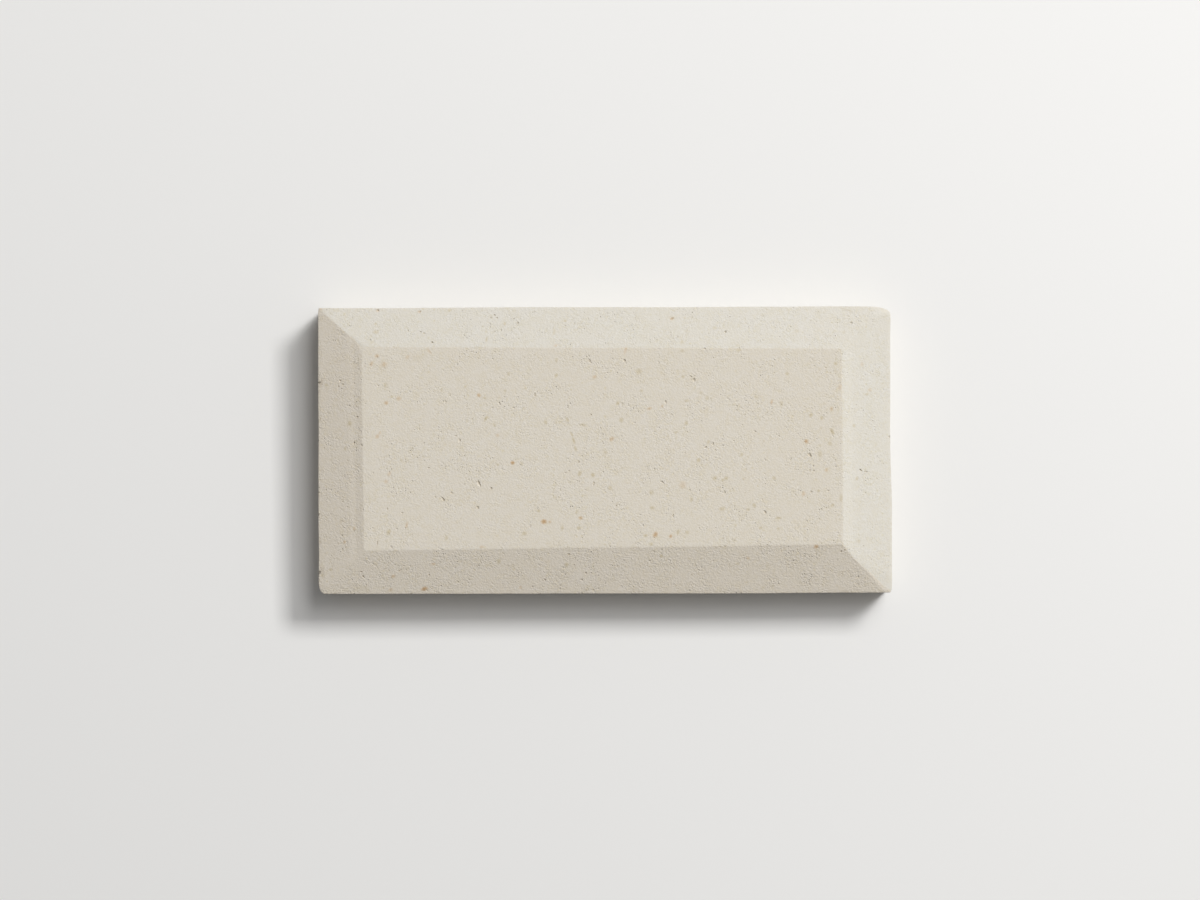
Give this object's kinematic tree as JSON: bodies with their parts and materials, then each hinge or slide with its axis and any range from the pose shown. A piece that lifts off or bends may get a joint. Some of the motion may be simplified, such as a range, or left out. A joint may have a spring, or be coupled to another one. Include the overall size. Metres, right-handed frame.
{
  "type": "bevelled stone subway wall tile",
  "caption": "Rectangular wall tile cut from pale beige limestone: flat raised field, four sloping bevels with mitred corners, flat back for adhesive",
  "frame": {"origin": "middle of the flat back, on the surface that the tile lies on", "axes": "+X along the tile's long side, +Y along its short side, towards the top edge of the picture, +Z out of the bevelled face"},
  "size_m": [0.1524, 0.0762, 0.015],
  "materials": {
    "limestone": "honed, matte, with small pits and tan specks"
  },
  "bodies": {
    "root": {"tile": "limestone"}
  },
  "joints": []
}
